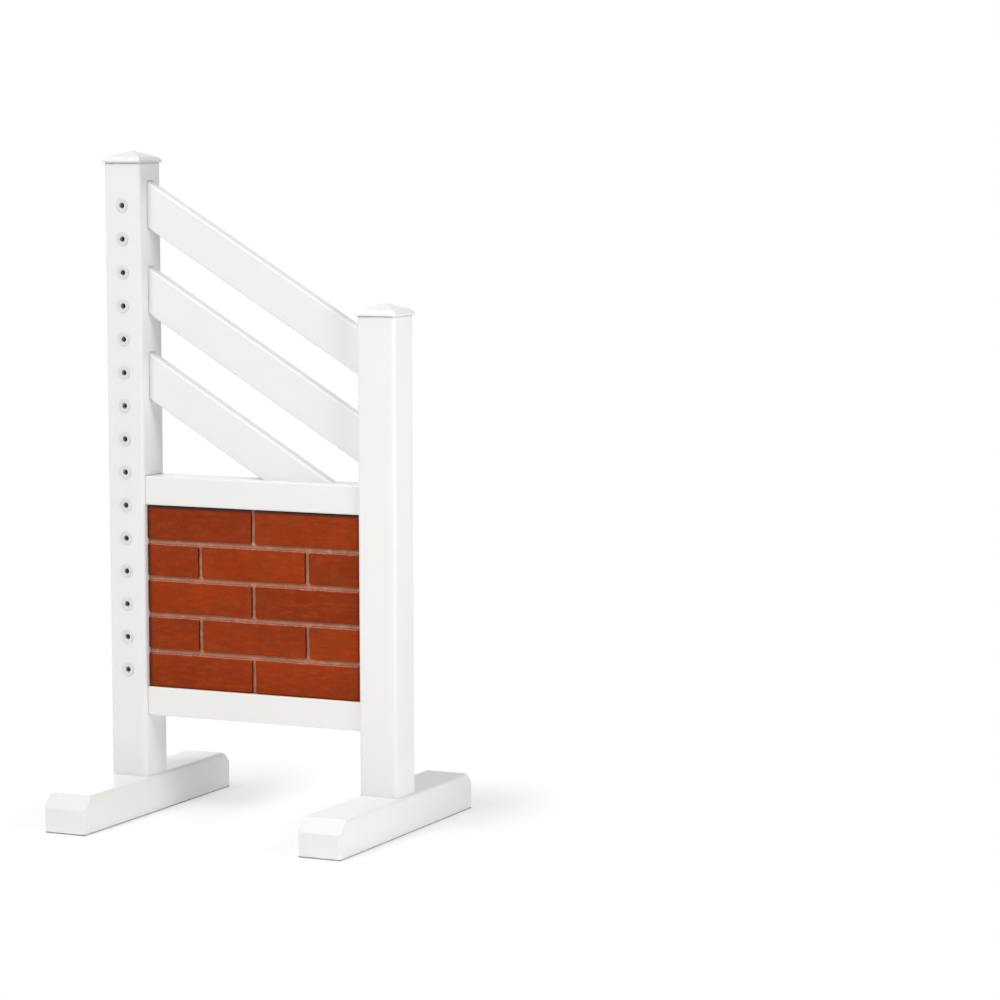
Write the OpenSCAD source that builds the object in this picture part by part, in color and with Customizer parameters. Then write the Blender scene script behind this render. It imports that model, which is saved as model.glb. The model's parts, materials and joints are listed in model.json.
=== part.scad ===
// Show jump wing with two posts, three sloping slats and a brick filler panel.
// Units are millimetres. The ground is z = 0 and +Z points up.
// +X runs along the wing from the tall post to the short post, and -Y is the face the pins go in from.

/* [Posts] */
// Outside width of both square posts
post_w = 94; // [90:1:100]
// Wall of the hollow posts
post_wall = 4; // [3:0.5:5]
// Radius of the posts' outside corners
post_round = 8; // [6:0.5:9]
// Distance between the two post centres
post_spacing = 646; // [600:2:700]
// Height of the tall post's top above the ground
tall_top = 1499.5; // [1480:0.5:1540]
// Height of the short post's top above the ground
short_top = 1163.5; // [1156:0.5:1200]

/* [Feet] */
// Length of each foot, front to back
foot_len = 659; // [600:5:720]
// Width of each foot
foot_w = 107; // [102:0.5:112]
// Height of each foot
foot_h = 87; // [82:1:92]
// Run and rise of the sloping cut at each foot's ends
foot_cut = 30; // [20:1:36]
// Rounding of the edges of that cut
foot_cut_round = 6; // [3:0.5:10]
// Rounding of the feet's upright and upper edges
foot_round = 8; // [5:0.5:10]
// Rounding of the feet's lower edges
foot_base_round = 4; // [2:0.5:5]

/* [Caps] */
// Overhang of each cap past its post
cap_over = 4.5; // [2:0.5:6]
// Upright edge of the cap's lip
cap_lip = 4; // [3:0.5:5]
// Rounding of the lip's upper edge
cap_lip_round = 1.6; // [0.6:0.2:2.2]
// Height of the steep band above the lip
cap_band = 8; // [6:0.5:9]
// How far the steep band leans in
cap_band_in = 8; // [6:0.5:9]
// Rise of the low pyramid above the band
cap_rise = 15.5; // [12:0.5:18]
// Half width of the pyramid's blunted tip
cap_tip = 6; // [4:0.5:8]
// Rounding where the steep band meets the pyramid
cap_soft = 3; // [1:0.5:5]
// Wall of the cap and of its skirt
cap_wall = 2.6; // [2:0.2:3]
// Depth of the skirt inside the post
cap_skirt = 24; // [16:1:26]

/* [Pin holes] */
// Distance from one pin hole to the next
hole_pitch = 76.2; // [70:0.1:90]
// Distance from the tall post's top down to the first pin hole
top_hole_drop = 97.5; // [85:0.5:130]
// Height below which there is no pin hole
hole_floor = 320; // [280:5:500]
// Bore of the sleeves that line the pin holes
pin_bore = 12.7; // [10:0.1:14]
// Outside diameter of the sleeves
sleeve_d = 19; // [18:0.5:21]
// Diameter of the flange and of the back collar
flange_d = 31; // [26:0.5:34]
// How far flange and collar stand out of the post
flange_t = 2.2; // [1:0.1:3]
// Width and depth of the chamfer round the mouth of the bore
mouth_cut = 1.8; // [0.6:0.1:2.4]

/* [Slats] */
// Width of each slat across its slope
slat_w = 92; // [84:1:96]
// Thickness of each slat
slat_t = 30; // [26:1:40]
// Rounding of the slats' long edges
slat_round = 6; // [3:0.5:7]
// Wall of the hollow slats
slat_wall = 3; // [2:0.5:4]
// Distance from the tall post's top down to the upper slat's top edge
slat_drop = 42; // [40:0.5:70]
// Distance from the short post's top down to the same edge at its other end
slat_end_drop = 36.5; // [30:0.5:60]
// Upright distance from one slat to the next
slat_step = 195.5; // [180:0.5:210]
// How far slats and rails run into the posts
joint_depth = 22; // [16:1:24]

/* [Rails] */
// Height of each rail
rail_h = 66; // [58:1:68]
// Depth of each rail, front to back
rail_d = 76; // [70:1:76]
// Rounding of the rails' long edges
rail_round = 4; // [3:0.5:5]
// Wall of the hollow rails
rail_wall = 3.5; // [2.5:0.5:4]
// Height of the top rail's upper face above the ground
rail_top = 784.5; // [770:0.5:790]
// Height of the bottom rail's lower face above the ground
rail_low = 231; // [230:0.5:240]

/* [Brick panel] */
// Courses of bricks between the rails
courses = 5; // [4:1:6]
// How far the brick faces lie behind the rails' faces
brick_back = 5; // [1:0.5:9]
// How far the bricks stand out of the mortar
brick_relief = 6; // [4:0.5:7]
// Height of the level mortar joints
mortar = 10.5; // [8:0.5:12]
// Width of the upright mortar joints
mortar_upright = 9; // [7:0.5:12]
// Bevel round each brick's face
brick_bevel = 1.8; // [1:0.2:2.4]
// Thickness of the boards that carry the bricks
board_t = 6; // [4:1:10]
// Width of the battens that hold the boards
batten_w = 24; // [20:1:30]

/* [Fixings] */
// Space left between each spigot's top and the bottom rail
spigot_space = 21; // [17:1:60]
// Diameter of the bolts that hold spigot and foot together
bolt_d = 10; // [8:1:12]
// Distance from each bolt to the post's middle
bolt_y = 22; // [20:1:24]
// Depth of the pocket for each bolt head
pocket_depth = 15; // [13:1:18]

/* [Hidden] */
$fn = 64;
// clearance between a piece and the flat-sided slot it sits in
slot_gap = 0.8;
// clearance between round pieces and their holes
round_gap = 0.3;
// clearance round the spigots and cap skirts inside the posts
plug_gap = 0.4;
// clearance round the boards and outer bricks
panel_gap = 1;
// gap where two battens meet in a corner
batten_gap = 0.5;
// upper, middle and lower slat
slat_count = 3;
// overshoot of cutting shapes past the face they cut
past = 1;
tall_x = -post_spacing / 2;
short_x = post_spacing / 2;
inner_x = (post_spacing - post_w) / 2;
post_in = post_w - 2 * post_wall;
post_in_round = post_round - post_wall;
end_x = inner_x + joint_depth;
slat_top = tall_top - slat_drop;
slat_fall = slat_top - (short_top - slat_end_drop);
slat_slope = atan(slat_fall / (2 * inner_x));
slat_tall = slat_w / cos(slat_slope);
panel_z0 = rail_low + rail_h;
panel_z1 = rail_top - rail_h;
course_h = (panel_z1 - panel_z0) / courses;
brick_l = inner_x;
mortar_y = rail_d / 2 - brick_back - brick_relief;
board_y = mortar_y - board_t;
top_hole_z = tall_top - top_hole_drop;
hole_count = 1 + floor((top_hole_z - hole_floor) / hole_pitch);
bolt_hole = bolt_d + 1;
washer_d = 2.1 * bolt_d;
washer_t = 0.2 * bolt_d;
head_af = 1.7 * bolt_d;
head_h = 0.64 * bolt_d;
nut_h = 0.8 * bolt_d;
pocket_d = washer_d + 3;
spigot_top = rail_low - spigot_space;
bolt_top = spigot_top + washer_t + nut_h + 0.3 * bolt_d;
bolt_low = pocket_depth - washer_t - head_h;
shell = [0.93, 0.93, 0.92];
bush = [0.80, 0.80, 0.79];
brick = [0.58, 0.22, 0.11];
grout = [0.74, 0.66, 0.61];
steel = [0.62, 0.63, 0.65];

// rounded rectangle in the plane, centred
module soft_rect(a, b, r) {
  square([a - 2 * r, b], center = true);
  square([a, b - 2 * r], center = true);
  for (sx = [-1, 1], sy = [-1, 1])
    translate([sx * (a / 2 - r), sy * (b / 2 - r)])
      circle(r = r);
}

function unit(v) = v / norm(v);

// half of the angle between the two sides that meet at corner i
function half_angle(pts, i) =
  let (n = len(pts), u = unit(pts[(i + n - 1) % n] - pts[i]), v = unit(pts[(i + 1) % n] - pts[i]))
  acos(u * v) / 2;

// convex polygon whose corner i is rounded with radius r[i]
module soft_polygon(pts, r) {
  n = len(pts);
  polygon([for (i = [0 : n - 1])
    let (t = r[i] / tan(half_angle(pts, i)), p = pts[i])
    each r[i] == 0 ? [p] : [p + t * unit(pts[(i + n - 1) % n] - p), p + t * unit(pts[(i + 1) % n] - p)]]);
  for (i = [0 : n - 1])
    if (r[i] > 0) {
      u = unit(pts[(i + n - 1) % n] - pts[i]);
      v = unit(pts[(i + 1) % n] - pts[i]);
      translate(pts[i] + unit(u + v) * r[i] / sin(half_angle(pts, i)))
        circle(r = r[i]);
    }
}

// upright bar of rounded square section from z0 to z1
module soft_column(a, r, z0, z1) {
  translate([0, 0, z0])
    linear_extrude(z1 - z0)
      soft_rect(a, a, r);
}

// solid rail blank along X, grown all round for the slots
module rail_blank(z0, grow, x0, x1) {
  translate([x0, 0, z0 + rail_h / 2])
    rotate([90, 0, 90])
      linear_extrude(x1 - x0)
        soft_rect(rail_d + 2 * grow, rail_h + 2 * grow, rail_round + grow);
}

// rail between the posts
module rail(z0) {
  difference() {
    rail_blank(z0, 0, -end_x, end_x);
    translate([-end_x - past, 0, z0 + rail_h / 2])
      rotate([90, 0, 90])
        linear_extrude(2 * end_x + 2 * past)
          soft_rect(rail_d - 2 * rail_wall, rail_h - 2 * rail_wall, 1);
  }
}

// bar of section a by b lying along a slat's slope, its middle line through the tall post's face
module slope_bar(i, a, b, r) {
  reach = 1.5 * post_spacing;
  translate([-inner_x, 0, slat_top - i * slat_step - slat_tall / 2])
    rotate([0, slat_slope, 0])
      translate([-post_w, 0, 0])
        rotate([90, 0, 90])
          linear_extrude(reach)
            soft_rect(a, b, r);
}

// slots that the slats pass through in a post's inner wall, down to the top rail
module slat_slots(face_x) {
  intersection() {
    for (i = [0 : slat_count - 1])
      slope_bar(i, slat_t + 2 * slot_gap, slat_w + 2 * slot_gap, slat_round + slot_gap);
    translate([face_x - post_wall - past, -post_w / 2, rail_top])
      cube([2 * post_wall + 2 * past, post_w, tall_top]);
  }
}

// slots for both rails in a post's inner wall
module rail_slots(face_x) {
  for (z0 = [rail_low, rail_top - rail_h])
    rail_blank(z0, slot_gap, face_x - post_wall - past, face_x + post_wall + past);
}

// slat trimmed upright inside the posts, and off level where it lands on the top rail
module slat(i) {
  intersection() {
    difference() {
      slope_bar(i, slat_t, slat_w, slat_round);
      slope_bar(i, slat_t - 2 * slat_wall, slat_w - 2 * slat_wall, slat_round - 2);
    }
    translate([-end_x, -slat_t, rail_top])
      cube([2 * end_x, 2 * slat_t, tall_top]);
  }
}

// hollow post, open at both ends
module post_tube(top) {
  difference() {
    soft_column(post_w, post_round, foot_h, top);
    soft_column(post_in, post_in_round, foot_h - past, top + past);
  }
}

module tall_post() {
  color(shell)
    difference() {
      translate([tall_x, 0, 0])
        post_tube(tall_top);
      for (i = [0 : hole_count - 1])
        translate([tall_x, 0, top_hole_z - i * hole_pitch])
          rotate([90, 0, 0])
            cylinder(h = post_w + 2 * past, d = sleeve_d + 2 * round_gap, center = true);
      slat_slots(-inner_x);
      rail_slots(-inner_x);
    }
}

module short_post() {
  color(shell)
    difference() {
      translate([short_x, 0, 0])
        post_tube(short_top);
      slat_slots(inner_x);
      rail_slots(inner_x);
    }
}

// section of the cap: lip, steep band, low pyramid and blunted tip
module cap_section() {
  hw = post_w / 2 + cap_over;
  shoulder = hw - cap_band_in;
  z1 = cap_lip + cap_band;
  tip_r = cap_tip / sin(atan(cap_rise / shoulder));
  soft_polygon([[-hw, 0], [hw, 0], [hw, cap_lip], [shoulder, z1], [0, z1 + cap_rise],
    [-shoulder, z1], [-hw, cap_lip]],
    [0, 0, cap_lip_round, cap_soft, tip_r, cap_soft, cap_lip_round]);
}

// hollow under the cap, a plain pyramid over the skirt's opening
module cap_hollow_section() {
  half = post_in / 2 - plug_gap - cap_wall;
  z1 = cap_lip + cap_band - cap_wall;
  rise = cap_rise * half / (post_w / 2 + cap_over - cap_band_in);
  polygon([[-half, -cap_skirt - past], [half, -cap_skirt - past], [half, z1],
    [0, z1 + rise], [-half, z1]]);
}

// square shape whose side and front outlines are both the section given
module crossed(width) {
  intersection() {
    rotate([90, 0, 0])
      linear_extrude(width, center = true)
        children();
    rotate([90, 0, 90])
      linear_extrude(width, center = true)
        children();
  }
}

module post_cap(x, top) {
  wide = post_w + 2 * cap_over;
  translate([x, 0, top])
    difference() {
      union() {
        intersection() {
          crossed(wide)
            cap_section();
          soft_column(wide, post_round, 0, cap_lip + cap_band + cap_rise);
        }
        soft_column(post_in - 2 * plug_gap, post_in_round, -cap_skirt, past);
      }
      crossed(wide)
        cap_hollow_section();
    }
}

module tall_post_cap() {
  color(shell)
    post_cap(tall_x, tall_top);
}

module short_post_cap() {
  color(shell)
    post_cap(short_x, short_top);
}

module upper_slat() {
  color(shell)
    slat(0);
}

module middle_slat() {
  color(shell)
    slat(1);
}

module lower_slat() {
  color(shell)
    slat(2);
}

module top_rail() {
  color(shell)
    rail(rail_top - rail_h);
}

module bottom_rail() {
  color(shell)
    rail(rail_low);
}

// board behind the bricks, facing -Y
module mortar_board() {
  translate([-inner_x + panel_gap, -mortar_y, panel_z0 + panel_gap])
    cube([2 * (inner_x - panel_gap), board_t, panel_z1 - panel_z0 - 2 * panel_gap]);
}

// outline of a brick's front edges: a plate with two bevels
module bevel_plate(size) {
  polygon([[0, 0], [size, 0], [size, brick_relief - brick_bevel],
    [size - brick_bevel, brick_relief], [brick_bevel, brick_relief],
    [0, brick_relief - brick_bevel]]);
}

// one brick in relief, its corner at the origin and its face towards -Y
module relief_brick(l, h) {
  intersection() {
    mirror([0, 1, 0])
      linear_extrude(h)
        bevel_plate(l);
    rotate([90, 0, 90])
      linear_extrude(l)
        mirror([1, 0, 0])
          rotate([0, 0, 90])
            mirror([0, 1, 0])
              bevel_plate(h);
  }
}

// running bond: whole bricks in odd courses, half bricks at both ends of even courses
module bricks() {
  for (row = [0 : courses - 1]) {
    odd = row % 2;
    count = 2 + odd;
    for (k = [0 : count - 1]) {
      x0 = max(-inner_x, -inner_x + (k - odd / 2) * brick_l);
      x1 = min(inner_x, -inner_x + (k + 1 - odd / 2) * brick_l);
      z0 = panel_z0 + row * course_h;
      left = x0 + (k == 0 ? panel_gap : mortar_upright / 2);
      right = x1 - (k == count - 1 ? panel_gap : mortar_upright / 2);
      low = z0 + (row == 0 ? panel_gap : mortar / 2);
      high = z0 + course_h - (row == courses - 1 ? panel_gap : mortar / 2);
      translate([left, -mortar_y, low])
        relief_brick(right - left, high - low);
    }
  }
}

module front_mortar_board() {
  color(grout)
    mortar_board();
}

module front_bricks() {
  color(brick)
    bricks();
}

module back_mortar_board() {
  color(grout)
    mirror([0, 1, 0])
      mortar_board();
}

module back_bricks() {
  color(brick)
    mirror([0, 1, 0])
      bricks();
}

// battens on posts and rails that the two boards are fixed to
module panel_battens() {
  tall = panel_z1 - panel_z0;
  long = 2 * (inner_x - batten_w - batten_gap);
  color(shell) {
    for (x = [-inner_x, inner_x - batten_w])
      translate([x, -board_y, panel_z0])
        cube([batten_w, 2 * board_y, tall]);
    for (z = [panel_z0, panel_z1 - batten_w])
      translate([-long / 2, -board_y, z])
        cube([long, 2 * board_y, batten_w]);
  }
}

// half section of a flanged sleeve, turned about the bore
module sleeve_section() {
  r0 = pin_bore / 2;
  r1 = sleeve_d / 2;
  r2 = flange_d / 2;
  front = post_w / 2 + flange_t;
  polygon([[r0, -front], [r1, -front], [r1, front - flange_t], [r2, front - flange_t],
    [r2, front - flange_t / 2], [r2 - flange_t / 2, front], [r0 + mouth_cut, front],
    [r0, front - mouth_cut]]);
}

module pin_sleeves() {
  color(bush)
    for (i = [0 : hole_count - 1])
      translate([tall_x, 0, top_hole_z - i * hole_pitch])
        rotate([90, 0, 0])
          rotate_extrude()
            sleeve_section();
}

module sleeve_collars() {
  r1 = sleeve_d / 2 + round_gap;
  r2 = flange_d / 2;
  color(bush)
    for (i = [0 : hole_count - 1])
      translate([tall_x, post_w / 2, top_hole_z - i * hole_pitch])
        rotate([-90, 0, 0])
          rotate_extrude()
            polygon([[r1, 0], [r2, 0], [r2, flange_t / 2], [r2 - flange_t / 2, flange_t],
              [r1, flange_t]]);
}

// side outline of a foot, with a sloping cut at both ends
module foot_side() {
  h = foot_len / 2;
  soft_polygon([[-h, 0], [h, 0], [h, foot_h - foot_cut], [h - foot_cut, foot_h],
    [foot_cut - h, foot_h], [-h, foot_h - foot_cut]],
    [foot_base_round, foot_base_round, foot_cut_round, foot_cut_round, foot_cut_round,
    foot_cut_round]);
}

// front outline of a foot, softer above than below
module foot_front() {
  half = foot_w / 2;
  soft_polygon([[-half, 0], [half, 0], [half, foot_h], [-half, foot_h]],
    [foot_base_round, foot_base_round, foot_round, foot_round]);
}

module foot(x) {
  translate([x, 0, 0])
    difference() {
      intersection() {
        linear_extrude(foot_h)
          soft_rect(foot_w, foot_len, foot_round);
        rotate([90, 0, 90])
          linear_extrude(foot_w, center = true)
            foot_side();
        rotate([90, 0, 0])
          linear_extrude(foot_len, center = true)
            foot_front();
      }
      for (s = [-1, 1])
        translate([0, s * bolt_y, -past]) {
          cylinder(h = foot_h + 2 * past, d = bolt_hole);
          cylinder(h = pocket_depth + past, d = pocket_d);
        }
    }
}

module tall_post_foot() {
  color(shell)
    foot(tall_x);
}

module short_post_foot() {
  color(shell)
    foot(short_x);
}

// block inside the post that the foot is bolted to
module spigot(x) {
  translate([x, 0, 0])
    difference() {
      soft_column(post_in - 2 * plug_gap, post_in_round, foot_h, spigot_top);
      for (s = [-1, 1])
        translate([0, s * bolt_y, foot_h - past])
          cylinder(h = spigot_top - foot_h + 2 * past, d = bolt_hole);
    }
}

module tall_post_spigot() {
  color(grout)
    spigot(tall_x);
}

module short_post_spigot() {
  color(grout)
    spigot(short_x);
}

// places its children at the four bolts
module at_bolts() {
  for (x = [tall_x, short_x], s = [-1, 1])
    translate([x, s * bolt_y, 0])
      children();
}

// hexagon of the given width across flats
module hexagon(af, h) {
  linear_extrude(h)
    circle(d = af / cos(30), $fn = 6);
}

module foot_bolts() {
  color(steel)
    at_bolts() {
      translate([0, 0, bolt_low])
        hexagon(head_af, head_h);
      translate([0, 0, bolt_low + head_h / 2])
        cylinder(h = bolt_top - bolt_low - head_h / 2, d = bolt_d);
    }
}

module bolt_washers() {
  color(steel)
    at_bolts()
      for (z = [pocket_depth - washer_t, spigot_top])
        translate([0, 0, z])
          difference() {
            cylinder(h = washer_t, d = washer_d);
            translate([0, 0, -past])
              cylinder(h = washer_t + 2 * past, d = bolt_hole);
          }
}

module bolt_nuts() {
  color(steel)
    at_bolts()
      translate([0, 0, spigot_top + washer_t])
        difference() {
          hexagon(head_af, nut_h);
          translate([0, 0, -past])
            cylinder(h = nut_h + 2 * past, d = bolt_d + 2 * round_gap);
        }
}

tall_post();
short_post();
tall_post_cap();
short_post_cap();
upper_slat();
middle_slat();
lower_slat();
top_rail();
bottom_rail();
front_mortar_board();
front_bricks();
back_mortar_board();
back_bricks();
panel_battens();
pin_sleeves();
sleeve_collars();
tall_post_foot();
short_post_foot();
tall_post_spigot();
short_post_spigot();
foot_bolts();
bolt_washers();
bolt_nuts();
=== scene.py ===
"""Dresses a show jump wing and sets up the studio it is pictured in."""

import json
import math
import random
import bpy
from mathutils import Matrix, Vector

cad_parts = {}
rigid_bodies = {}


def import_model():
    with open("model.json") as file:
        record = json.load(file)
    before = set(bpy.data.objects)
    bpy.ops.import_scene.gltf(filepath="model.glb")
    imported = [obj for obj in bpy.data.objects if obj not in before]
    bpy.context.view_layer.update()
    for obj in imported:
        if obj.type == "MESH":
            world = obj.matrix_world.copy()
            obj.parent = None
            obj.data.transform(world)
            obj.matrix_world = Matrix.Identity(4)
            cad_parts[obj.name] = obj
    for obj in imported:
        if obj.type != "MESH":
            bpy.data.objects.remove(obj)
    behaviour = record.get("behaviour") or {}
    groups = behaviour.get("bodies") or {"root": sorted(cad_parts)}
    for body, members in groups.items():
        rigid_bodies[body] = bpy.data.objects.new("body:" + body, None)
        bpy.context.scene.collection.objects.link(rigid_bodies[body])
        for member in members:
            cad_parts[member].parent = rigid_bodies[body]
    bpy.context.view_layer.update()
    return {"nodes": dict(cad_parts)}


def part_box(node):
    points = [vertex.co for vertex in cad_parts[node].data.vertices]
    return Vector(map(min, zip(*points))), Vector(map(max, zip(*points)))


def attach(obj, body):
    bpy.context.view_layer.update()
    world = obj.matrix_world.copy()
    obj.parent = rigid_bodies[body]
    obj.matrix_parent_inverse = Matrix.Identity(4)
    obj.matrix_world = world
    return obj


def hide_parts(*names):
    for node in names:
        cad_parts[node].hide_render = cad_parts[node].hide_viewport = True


bl_info = {
    "name": "Show Jump Wing",
    "version": (1, 0, 0),
    "blender": (4, 5, 0),
    "location": "3D View > Sidebar > Wing",
    "description": "Finishes the pieces of a show jump wing and sets up a studio round it",
    "category": "Object",
}

import bmesh
import bpy
from bpy.props import FloatProperty, FloatVectorProperty, IntProperty, PointerProperty
from mathutils import Matrix, Vector, noise

# the start-up file's own objects go first
for leftover in list(bpy.data.objects):
    bpy.data.objects.remove(leftover)
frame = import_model()
BRICKS_LOW, BRICKS_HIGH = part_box("front_bricks")
MORTAR_LOW, MORTAR_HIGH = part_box("front_mortar_board")

# colours that no setting changes
WHITE = (1, 1, 1, 1)
DRAWN_LINE = (0.72, 0.72, 0.72, 1)
# colour of the lines of painted shade under the caps and at the feet's base
SHADE_LINE_COLOUR = (0.10, 0.098, 0.095, 1)
# colours of the pin hole liners' painted shade: round their collars, and down their bores
SLEEVE_CORNER_SHADE = (0.20, 0.19, 0.18, 1)
BORE_SHADE = (0.24, 0.235, 0.23, 1)
DARK_SAND = (0.40, 0.18, 0.115, 1)
LIME = (0.95, 0.60, 0.47, 1)
JOINT_SHADE = (0.20, 0.075, 0.04, 1)
# colour of the painted shade where the mortar meets the bricks
JOINT_CORNER_SHADE = (0.10, 0.035, 0.018, 1)
ZINC = (0.58, 0.59, 0.60, 1)
ZINC_BLOOM = (0.42, 0.44, 0.47, 1)
CORE_DARK = (0.10, 0.10, 0.105, 1)
CORE_LIGHT = (0.17, 0.17, 0.165, 1)

# directions in which extruding draws its lines: a small factor stretches the pattern along that axis
DRAWN_X, DRAWN_Y, DRAWN_Z = (0.02, 1, 1), (1, 0.05, 1), (1, 1, 0.02)

# fineness of the plastic's grain
DRAWN_GRAIN, MOULDED_GRAIN = 900, 320

# lines of painted shade, a painted shadow under each cap's lip and a painted contact shadow where each foot meets
# the ground: start height, full height, strength; under a cap the heights count down from the post's top
CAP_SHADOW_LINE = (0.006, 0.001, 0.5)
GROUND_SHADOW_LINE = (0.0046, 0.002, 0.85)

# where the painted shade down the pin holes' bores begins and where it is full, in metres from the post's middle
BORE_MOUTH, BORE_DARK = 0.047, 0.036

# sizes of the relief, in metres
PANEL_GAP = 0.001  # between the panel and the posts and rails
SAND = 0.0003  # the mortar's surface lies this far in, and its sand rises at most as far
LOWEST = 0.0008  # least height of a brick's face above the mortar
SPARE = 0.0004  # kept free above a brick's face, for its swells
SWELL, DRAG, SAND_RISE = 0.00035, 0.00012, 0.0004  # heights of the unevenness
CHIPS = 5  # on each brick
CHIP_REACH = (0.002, 0.005)
CHIP_DEPTH = (0.0004, 0.0014)
EDGE_LINES = (0, 0.12, 0.4, 0.75, 1.15)  # mesh lines along a brick's edge, in edge roundings
JOINT_LINES = (-1.3, -1, -0.66, -0.33, 0, 0.33, 0.66, 1, 1.3)  # mesh lines across a joint, in half joints
JOINT_CLEAR = 1.35  # the even mesh lines stay this far from a joint's middle, in half joints
WIDEST_JOINT = 1.5  # a wider gap between two bricks is no joint, in level joints
SHARP = math.radians(55)  # edges that turn more than this stay sharp

# the relief's unevenness, in waves to the metre along and up
STRAY_WAVES, FINE_WAVES = (38, 38), (170, 170)
SWELL_WAVES, DRAG_WAVES, SAND_WAVES = (14, 30), (22, 420), (60, 60)
FINE_SHARE = 0.35  # of the fine waves in an edge's wander
TONE_SEED = 41

# the floor's shadow shows near each foot and fades to plain white away from it
FLOOR_WHITE = 0.4  # share of plain white even at the feet
FADE_BACK = 0.1  # how far behind the feet's middle the fade is centred
FADE_ACROSS, FADE_ALONG = 0.24, 0.5  # fade lengths across and along a foot
FADE_START, FADE_END = 0.5, 1.25  # in fade lengths
FLOOR_RADIUS = 9  # metres


# ---- settings ----


class PlasticSettings(bpy.types.PropertyGroup):
    """White moulded and extruded plastic"""

    colour: FloatVectorProperty(
        name="White", description="Colour of posts, slats, rails and feet", subtype="COLOR",
        size=4, min=0, max=1, default=(0.86, 0.86, 0.85, 1))
    # the caps are one plastic: the tall cap's darker white is painted shade, the short cap's lighter white painted
    # light
    tall_cap_shaded: FloatVectorProperty(
        name="Tall cap, painted shade", description="Colour of the tall post's moulded cap", subtype="COLOR",
        size=4, min=0, max=1, default=(0.745, 0.745, 0.735, 1))
    short_cap_lit: FloatVectorProperty(
        name="Short cap, painted light", description="Colour of the short post's moulded cap", subtype="COLOR",
        size=4, min=0, max=1, default=(0.88, 0.88, 0.86, 1))
    sleeve: FloatVectorProperty(
        name="Sleeve", description="Colour of the liners of the pin holes", subtype="COLOR",
        size=4, min=0, max=1, default=(0.74, 0.74, 0.73, 1))
    # the corner colour and its amount are for painted shade, darkening corners where surfaces meet
    corner_shade: FloatVectorProperty(
        name="Corner shade", description="Colour of the dust that settles in corners", subtype="COLOR",
        size=4, min=0, max=1, default=(0.45, 0.43, 0.41, 1))
    corner_shade_amount: FloatProperty(
        name="Dust amount", description="How much the dust in corners shows", subtype="FACTOR",
        min=0, max=1, default=0.16)
    slope: FloatProperty(
        name="Slat slope", description="Slope of the slats, for the lines that extruding leaves",
        subtype="ANGLE", unit="ROTATION", default=math.radians(30.5))
    roughness: FloatProperty(
        name="Roughness", description="Roughness of the satin surface", subtype="FACTOR",
        min=0.1, max=1, default=0.42)


class BrickSettings(bpy.types.PropertyGroup):
    """Brick relief and its mortar"""

    colour: FloatVectorProperty(
        name="Brick", description="Middle colour of the bricks", subtype="COLOR",
        size=4, min=0, max=1, default=(0.330, 0.0395, 0.0048, 1))
    deep: FloatVectorProperty(
        name="Deep brick", description="Darkest colour of the bricks", subtype="COLOR",
        size=4, min=0, max=1, default=(0.225, 0.026, 0.0034, 1))
    bright: FloatVectorProperty(
        name="Bright brick", description="Colour of the drag marks on the bricks", subtype="COLOR",
        size=4, min=0, max=1, default=(0.385, 0.054, 0.0095, 1))
    brown: FloatVectorProperty(
        name="Brown brick", description="Colour of the brown patches on the bricks", subtype="COLOR",
        size=4, min=0, max=1, default=(0.22, 0.041, 0.0070, 1))
    mortar: FloatVectorProperty(
        name="Mortar", description="Colour of the mortar", subtype="COLOR",
        size=4, min=0, max=1, default=(0.74, 0.325, 0.21, 1))
    # the smear colour is partly real mortar and partly a painted highlight: lighter than the mortar, on edges that
    # face up
    smear_and_highlight: FloatVectorProperty(
        name="Mortar smear", description="Colour of the thin mortar left on the bricks' upper edges",
        subtype="COLOR", size=4, min=0, max=1, default=(0.95, 0.33, 0.22, 1))
    # the shade colour is painted shade, on the bricks' sides, along the top rail, beside the posts and in corners
    shade: FloatVectorProperty(
        name="Shade", description="Colour of the bricks' upright sides and of the grime in corners",
        subtype="COLOR", size=4, min=0, max=1, default=(0.085, 0.016, 0.006, 1))
    joint: FloatProperty(
        name="Level joint", description="Height of the level mortar joints", subtype="DISTANCE",
        unit="LENGTH", min=0.006, max=0.014, default=0.0105)
    upright: FloatProperty(
        name="Upright joint", description="Width of the upright mortar joints", subtype="DISTANCE",
        unit="LENGTH", min=0.006, max=0.014, default=0.009)
    courses: IntProperty(
        name="Courses", description="Courses of bricks, as in the model", min=3, max=8, default=5)
    soft: FloatProperty(
        name="Edge rounding", description="Rounding of the bricks' face edges", subtype="DISTANCE",
        unit="LENGTH", min=0.001, max=0.004, default=0.0034)
    corner: FloatProperty(
        name="Corner rounding", description="Rounding of the bricks' corners seen from the front",
        subtype="DISTANCE", unit="LENGTH", min=0.001, max=0.01, default=0.005)
    wander: FloatProperty(
        name="Edge wander", description="How far the bricks' edges stray from straight",
        subtype="DISTANCE", unit="LENGTH", min=0, max=0.002, default=0.0008)
    cell: FloatProperty(
        name="Cell", description="Size of the mesh cells on the relief", subtype="DISTANCE",
        unit="LENGTH", min=0.003, max=0.02, default=0.006)
    strike: FloatProperty(
        name="Joint hollow", description="Depth of the hollow struck in the mortar joints",
        subtype="DISTANCE", unit="LENGTH", min=0, max=0.003, default=0.0012)


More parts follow.
